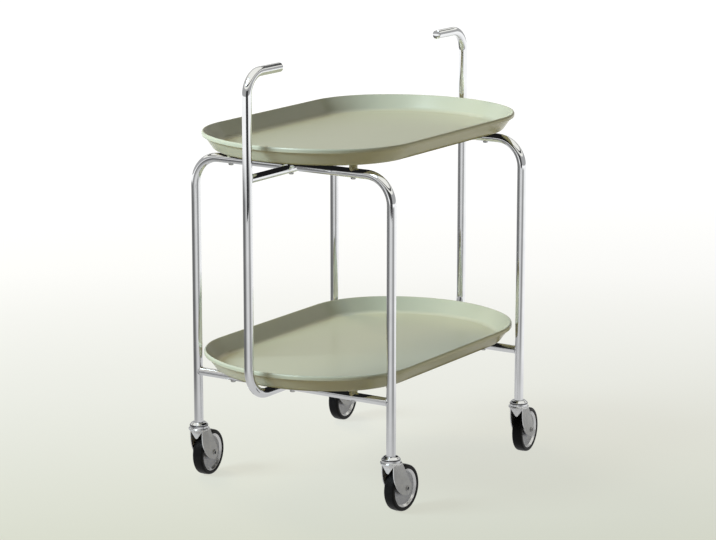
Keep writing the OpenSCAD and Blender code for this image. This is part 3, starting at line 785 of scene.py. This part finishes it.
def caster_axle(caster):
    """A rivet through both cheeks, its heads domed and dished."""
    half_w, r, head_r, head_h = 12 * MM, 3 * MM, 4.5 * MM, 1.2 * MM
    half = fillet([
        ((r, 0), 0, 0), ((r, half_w), 0, 0), ((head_r, half_w), 0.2 * MM, 2),
        ((head_r, half_w + head_h), 0.7 * MM, 6), ((2.9 * MM, half_w + head_h), 0.3 * MM, 4),
        ((2.4 * MM, half_w + 0.2 * MM), 0.4 * MM, 4), ((0.3 * MM, half_w + 0.1 * MM), 0, 0),
    ], closed=False)
    profile = [(p.x, -p.y) for p in reversed(half)] + [(p.x, p.y) for p in half[1:]]
    obj = Shell().loft(lathe_rings(profile, 48)).object(caster.name + "_axle_rivet")
    # The dish in the middle of each head takes the dark steel and the rim round it the fork's plate, so each
    # head is darker in its dish.
    obj.data.materials.append(MATERIALS["caster_steel"])
    dish_r = 2.8 * MM
    second_finish(obj, MATERIALS["fork_steel"], lambda c, n: math.hypot(c.x, c.y) > dish_r)
    return caster.put_on_axle(obj, "axle", "caster_steel", "_swivel")


def caster_hub(caster):
    """A web between a raised ring and a boss, the same on both faces."""
    hub_r, half_w, web, ring_in = 32.1 * MM, 8 * MM, 5 * MM, 28.2 * MM
    boss_r, boss_w, bore = 8.5 * MM, 9.6 * MM, 4.6 * MM
    half = [
        ((hub_r, half_w), 0.4 * MM, 3), ((hub_r - 2.2 * MM, half_w), 1 * MM, 6),
        ((ring_in - 1.6 * MM, web), 1 * MM, 5), ((boss_r + 0.9 * MM, web), 0.8 * MM, 5),
        ((boss_r, boss_w), 0.5 * MM, 4), ((bore, boss_w), 0.2 * MM, 2),
    ]
    profile = fillet(half + [((x, -z), r, n) for (x, z), r, n in reversed(half)])
    obj = Shell().loft(lathe_rings(profile, 96), close=True).object(caster.name + "_hub_moulding", sharp=60)
    obj.data.materials.append(MATERIALS["hub_plastic"])

    def raised(c, n):
        return math.hypot(c.x, c.y) > ring_in - 1.4 * MM and abs(c.z) > web + 0.1 * MM

    # The raised ring takes the lighter copy of the nylon: a painted highlight.
    second_finish(obj, HUB_RING_PAINTED_HIGHLIGHT, raised)
    return caster.put_on_axle(obj, "hub", "hub_plastic", "_wheel")


def caster_tyre(caster):
    """A solid tyre with rounded shoulders and a slightly crowned tread."""
    outer, half_w = AXLE_Z, 9 * MM
    inner, lip_r, hub_face = 32.15 * MM, 30.4 * MM, 8.05 * MM
    side = [((inner, hub_face), 0, 0), ((lip_r, hub_face), 0.1 * MM, 2),
            ((lip_r + 0.5 * MM, half_w), 0.4 * MM, 3), ((outer - 0.6 * MM, half_w), 3.2 * MM, 9)]
    profile = fillet([((x, -z), r, n) for (x, z), r, n in side] + [((outer, 0), 0, 0)] + side[::-1])
    obj = Shell().loft(lathe_rings(profile, 112), close=True).object(caster.name + "_tyre_ring", sharp=60)
    return caster.put_on_axle(obj, "tyre", "tyre_rubber", "_wheel")


def dress_hidden_nodes():
    """The CAD nodes that stay: stems, balls, sleeves, sockets and rivet nuts."""
    finishes = {"stem": "caster_steel", "balls": "caster_steel", "sleeve": "caster_steel",
                "socket": "socket_plastic"}
    kept = {c + "_" + part: slot for c in CASTERS for part, slot in finishes.items()}
    kept["rivet_nuts"] = "screw_steel"
    for node, slot in kept.items():
        data = frame["nodes"][node].data
        data.materials.clear()
        data.materials.append(MATERIALS[slot])


def build_table():
    """Every visible piece, node by node."""
    for node in ("upper_tray", "lower_tray"):
        tray(node)
    standoff_set("upper_standoffs", HOOP_Z, TUBE_R)
    standoff_set("lower_standoffs", CROSSBAR_Z, RAIL_R)
    under_trays = [(sx * HOOP_X, sy * STANDOFF_Y) for sx in (LEFT, RIGHT) for sy in (LEFT, RIGHT)]
    crossings = [(LEFT * HOOP_X, 0), (RIGHT * HOOP_X, 0)]
    screw_set("upper_tray_screws", HOOP_Z, TUBE_R, under_trays, False)
    screw_set("lower_tray_screws", CROSSBAR_Z, RAIL_R, under_trays, False)
    screw_set("upper_crossing_screws", TOP_RAIL_Z, RAIL_R, crossings, True)
    screw_set("lower_crossing_screws", CROSSBAR_Z, RAIL_R, crossings, False)
    for side in SIDES:
        leg_hoop(side)
        crossbar(side)
        grip_cap(side)
    top_rail()
    handle_frame()
    for name in CASTERS:
        caster = Caster(name)
        for make in (caster_cap, caster_ball_cup, caster_fork, caster_axle, caster_hub, caster_tyre):
            make(caster)
    dress_hidden_nodes()


# Studio

CAMERA_PLACE = Vector((-3.6272, -2.3392, 1.2707))
VIEW_AZIMUTH = math.radians(32.889)
VIEW_DIP = math.radians(12.266)
LENS = 136.1
SENSOR_WIDTH = 36
TABLE_MIDDLE = (0, 0, 0.35)
LAMP_DISTANCE = 3.4
BOX_DISTANCE = 3.2
WHITE = (1.0, 1.0, 1.0)


def facing(place, direction):
    """The matrix of a camera or lamp at a place, pointing along a direction."""
    return Matrix.Translation(place) @ direction.to_track_quat("-Z", "Y").to_matrix().to_4x4()


def aimed(place, target):
    """The matrix of a lamp at a place, pointing at a target."""
    return facing(place, (Vector(target) - Vector(place)).normalized())


def camera():
    """The photo's viewpoint and lens."""
    data = bpy.data.cameras.new("camera")
    data.lens = LENS
    data.sensor_width = SENSOR_WIDTH
    data.sensor_fit = "HORIZONTAL"
    obj = linked("camera", data)
    look = Vector((math.cos(VIEW_AZIMUTH) * math.cos(VIEW_DIP), math.sin(VIEW_AZIMUTH) * math.cos(VIEW_DIP),
                   -math.sin(VIEW_DIP)))
    obj.matrix_world = facing(CAMERA_PLACE, look)
    bpy.context.scene.camera = obj


def srgb(r, g, b):
    """A colour given in 0..255 as it shows on a screen, in linear light."""
    return tuple((c / 255 / 12.92) if c <= 10 else ((c / 255 + 0.055) / 1.055) ** 2.4 for c in (r, g, b))


def add_math(tree, operation, *values):
    """A maths node over numbers and sockets."""
    node = tree.nodes.new("ShaderNodeMath")
    node.operation = operation
    for socket, value in zip(node.inputs, values):
        if isinstance(value, (int, float)):
            socket.default_value = value
        else:
            tree.links.new(value, socket)
    return node.outputs[0]


def along_floor(tree, position, direction):
    """How far a place lies along a direction."""
    node = tree.nodes.new("ShaderNodeVectorMath")
    node.operation = "DOT_PRODUCT"
    node.inputs[1].default_value = direction
    tree.links.new(position, node.inputs[0])
    return node.outputs["Value"]


def floor_colour(tree, position, away):
    """Pale grey-green on the camera's side, fading to white behind the table and far away."""
    along = along_floor(tree, position, (math.cos(VIEW_AZIMUTH), math.sin(VIEW_AZIMUTH), 0))
    ramp = tree.nodes.new("ShaderNodeValToRGB")
    ramp.color_ramp.interpolation = "LINEAR"
    near, far = -0.4, 2.9
    stops = [(near, srgb(215, 217, 203)), (0.45, srgb(233, 234, 227)), (1.5, srgb(248, 248, 246)),
             (far, WHITE)]
    for spare in (0, 1):
        ramp.color_ramp.elements[spare].position = spare
        ramp.color_ramp.elements[spare].color = (*stops[-spare][1], 1)
    for place, colour in stops[1:-1]:
        ramp.color_ramp.elements.new((place - near) / (far - near)).color = (*colour, 1)
    tree.links.new(ranged(tree, along, 0, 1, near, far), ramp.inputs["Fac"])
    return mixed(tree, ranged(tree, away, 0, 1, 1.3, 4.5), ramp.outputs["Color"], WHITE)


def reflected_floor(tree, position, away):
    """The floor as metal reflects it, painted: greys that change with the direction from the table, mid grey
    under it and light grey far away.

    The angle is 0 towards the camera and grows to the camera's right.
    """
    nearer = along_floor(tree, position, (-math.cos(VIEW_AZIMUTH), -math.sin(VIEW_AZIMUTH), 0))
    rightward = along_floor(tree, position, (math.sin(VIEW_AZIMUTH), -math.cos(VIEW_AZIMUTH), 0))
    angle = add_math(tree, "ARCTAN2", rightward, nearer)
    ramp = tree.nodes.new("ShaderNodeValToRGB")
    # Painted reflections: grey by the angle round the table, in degrees.
    greys = [(-152, 0.8), (-140, 0.2), (-66, 0.14), (-45, 0.4), (-26, 0.68), (-8, 0.72), (8, 0.62),
             (24, 0.36), (38, 0.24), (50, 0.38), (66, 0.75), (86, 0.96)]
    behind = greys[-1][1]
    for spare in (0, 1):
        ramp.color_ramp.elements[spare].position = spare
        ramp.color_ramp.elements[spare].color = (behind, behind, behind, 1)
    for degrees, grey in greys:
        ramp.color_ramp.elements.new(0.5 + degrees / 360).color = (grey, grey, grey, 1)
    tree.links.new(ranged(tree, angle, 0, 1, -math.pi, math.pi), ramp.inputs["Fac"])
    under_table, far_away = (0.6, 0.6, 0.6), (0.9, 0.9, 0.9)
    within = ranged(tree, away, 1, 0, 0.35, 1.0)
    beyond = ranged(tree, away, 0, 1, 2.9, 3.5)
    near = mixed(tree, within, ramp.outputs["Color"], under_table)
    return mixed(tree, beyond, near, far_away)


def studio_floor():
    """A wide pale floor that keeps a soft shadow: shaded and glowing to the camera, painted to metal."""
    half = 40
    obj = piece("studio_floor", [(-half, -half, 0), (half, -half, 0), (half, half, 0), (-half, half, 0)],
                [(0, 1, 2, 3)])
    mat = bpy.data.materials.new("studio_floor")
    mat.use_nodes = True
    tree = mat.node_tree
    tree.nodes.clear()
    position = tree.nodes.new("ShaderNodeNewGeometry").outputs["Position"]
    length = tree.nodes.new("ShaderNodeVectorMath")
    length.operation = "LENGTH"
    tree.links.new(position, length.inputs[0])
    away = length.outputs["Value"]
    colour = floor_colour(tree, position, away)
    shaded = tree.nodes.new("ShaderNodeBsdfDiffuse")
    glow = tree.nodes.new("ShaderNodeEmission")
    path = tree.nodes.new("ShaderNodeLightPath")
    tree.links.new(colour, shaded.inputs["Color"])
    # To metal the floor shows the painted reflections in place of its own colour.
    plain = mixed(tree, path.outputs["Is Glossy Ray"], colour, reflected_floor(tree, position, away))
    tree.links.new(plain, glow.inputs["Color"])
    seen = tree.nodes.new("ShaderNodeMixShader")
    shadow_share = add_math(tree, "MULTIPLY", path.outputs["Is Camera Ray"], 0.13)
    tree.links.new(shadow_share, seen.inputs["Fac"])
    tree.links.new(ranged(tree, away, 1.02, 1.24, 0.8, 4.5), glow.inputs["Strength"])
    tree.links.new(glow.outputs["Emission"], seen.inputs[1])
    tree.links.new(shaded.outputs["BSDF"], seen.inputs[2])
    bounce = tree.nodes.new("ShaderNodeBsdfDiffuse")
    bounce.inputs["Color"].default_value = (0.44, 0.34, 0.17, 1)
    final = tree.nodes.new("ShaderNodeMixShader")
    pick = add_math(tree, "MAXIMUM", path.outputs["Is Camera Ray"], path.outputs["Is Glossy Ray"])
    tree.links.new(pick, final.inputs["Fac"])
    tree.links.new(bounce.outputs["BSDF"], final.inputs[1])
    tree.links.new(seen.outputs["Shader"], final.inputs[2])
    out = tree.nodes.new("ShaderNodeOutputMaterial")
    tree.links.new(final.outputs["Shader"], out.inputs["Surface"])
    obj.data.materials.append(mat)


def glow_material(name, colour, strength=1):
    """A plain light-giving surface."""
    mat = bpy.data.materials.new(name)
    mat.use_nodes = True
    tree = mat.node_tree
    tree.nodes.clear()
    glow = tree.nodes.new("ShaderNodeEmission")
    glow.inputs["Color"].default_value = (*colour, 1)
    glow.inputs["Strength"].default_value = strength
    out = tree.nodes.new("ShaderNodeOutputMaterial")
    tree.links.new(glow.outputs["Emission"], out.inputs["Surface"])
    return mat


def card(name, from_deg, to_deg, radius, low, high, colour):
    """A curved reflector card standing round the table, seen only in reflections."""
    steps = 24
    verts, faces = [], []
    for k in range(steps + 1):
        a = math.radians(from_deg + (to_deg - from_deg) * k / steps)
        for z in (low, high):
            verts.append((radius * math.cos(a), radius * math.sin(a), z))
    for k in range(steps):
        faces.append((2 * k, 2 * k + 2, 2 * k + 3, 2 * k + 1))
    obj = piece(name, verts, faces)
    obj.data.materials.append(glow_material(name, colour))
    only_reflected(obj)


def only_reflected(obj):
    """Stage dressing that only shows in reflections."""
    obj.visible_camera = False
    obj.visible_diffuse = False
    obj.visible_shadow = False
    obj.visible_transmission = False


def softbox(name, place, target, size, strength):
    """A reflected soft box, bright in the middle and fading to its edges."""
    obj = piece(name, [(-1, -1, 0), (1, -1, 0), (1, 1, 0), (-1, 1, 0)], [(0, 1, 2, 3)])
    mat = glow_material(name, (0.82, 0.94, 1.0), strength)
    tree = mat.node_tree
    coords = tree.nodes.new("ShaderNodeTexCoord")
    fade = tree.nodes.new("ShaderNodeTexGradient")
    fade.gradient_type = "SPHERICAL"
    tree.links.new(coords.outputs["Object"], fade.inputs["Vector"])
    level = ranged(tree, fade.outputs["Fac"], 0, strength, 0.0, 0.6)
    tree.links.new(level, tree.nodes["Emission"].inputs["Strength"])
    obj.data.materials.append(mat)
    obj.matrix_world = aimed(place, target) @ Matrix.Diagonal((size[0] / 2, size[1] / 2, 1, 1))
    only_reflected(obj)


def shade(name, tray_box):
    """A dark card close under a tray, seen only in reflections: the tubes reflect it as the tray's shaded
    underside, a painted reflection of shade.
    """
    low, high = tray_box
    inset, gap = 16 * MM, 0.7 * MM
    x, y, z = high.x - inset, high.y - inset, low.z - gap
    rim = fillet([(corner, 165 * MM, 12) for corner in ((-x, -y), (x, -y), (x, y), (-x, y))])
    obj = piece(name, [(v.x, v.y, z) for v in rim], [tuple(range(len(rim)))])
    obj.data.materials.append(glow_material(name, (0.012, 0.012, 0.012)))
    only_reflected(obj)


def lamp(name, place, target, size, power, colour):
    """A soft area lamp that metal doesn't reflect."""
    data = bpy.data.lights.new(name, "AREA")
    data.shape = "RECTANGLE"
    data.size, data.size_y = size
    data.energy = power
    data.color = colour
    obj = linked(name, data)
    obj.matrix_world = aimed(place, target)
    obj.visible_glossy = False


def around(azimuth, height, distance):
    """A place at a compass angle and height angle from the table, both in degrees."""
    a, e = math.radians(azimuth), math.radians(height)
    return (distance * math.cos(a) * math.cos(e), distance * math.sin(a) * math.cos(e),
            TABLE_MIDDLE[2] + distance * math.sin(e))


def world():
    """Plain pale surroundings."""
    scene_world = bpy.data.worlds.new("studio")
    scene_world.use_nodes = True
    tree = scene_world.node_tree
    ambient, reflected = 0.12, 1.0
    background = tree.nodes["Background"]
    background.inputs["Color"].default_value = (1.0, 0.99, 0.93, 1)
    path = tree.nodes.new("ShaderNodeLightPath")
    level = add_math(tree, "MULTIPLY_ADD", path.outputs["Is Glossy Ray"], reflected - ambient, ambient)
    level = add_math(tree, "MAXIMUM", level, path.outputs["Is Camera Ray"])
    tree.links.new(level, background.inputs["Strength"])
    bpy.context.scene.world = scene_world


def studio():
    """Floor, surroundings, lamps from behind and a low fill, and what only the metal reflects."""
    studio_floor()
    world()
    lamp("key", around(146, 29, LAMP_DISTANCE), TABLE_MIDDLE, (1.6, 1.0), 160, (0.74, 0.89, 1.0))
    lamp("warm", around(72, 52, LAMP_DISTANCE), TABLE_MIDDLE, (1.2, 1.2), 52, (1.0, 0.8, 0.45))
    lamp("low_fill", around(308, -3, BOX_DISTANCE), (0, 0, 0.5), (2.0, 0.2), 23, (0.97, 0.92, 0.45))
    softbox("soft_box", around(163, 50, BOX_DISTANCE), TABLE_MIDDLE, (1.5, 2.0), 11)
    card("horizon", 0, 360, 9, 0.0, 4.2, (0.42, 0.42, 0.42))
    card("black_card", 190, 234, 1.15, 0.3, 0.9, (0.05, 0.05, 0.052))
    card("dark_band", 0, 360, 5, 3.5, 4.6, (0.1, 0.1, 0.1))
    shade("upper_shade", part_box("upper_tray"))
    shade("lower_shade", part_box("lower_tray"))
    bpy.context.scene.view_settings.view_transform = "Standard"


build_table()
studio()
camera()
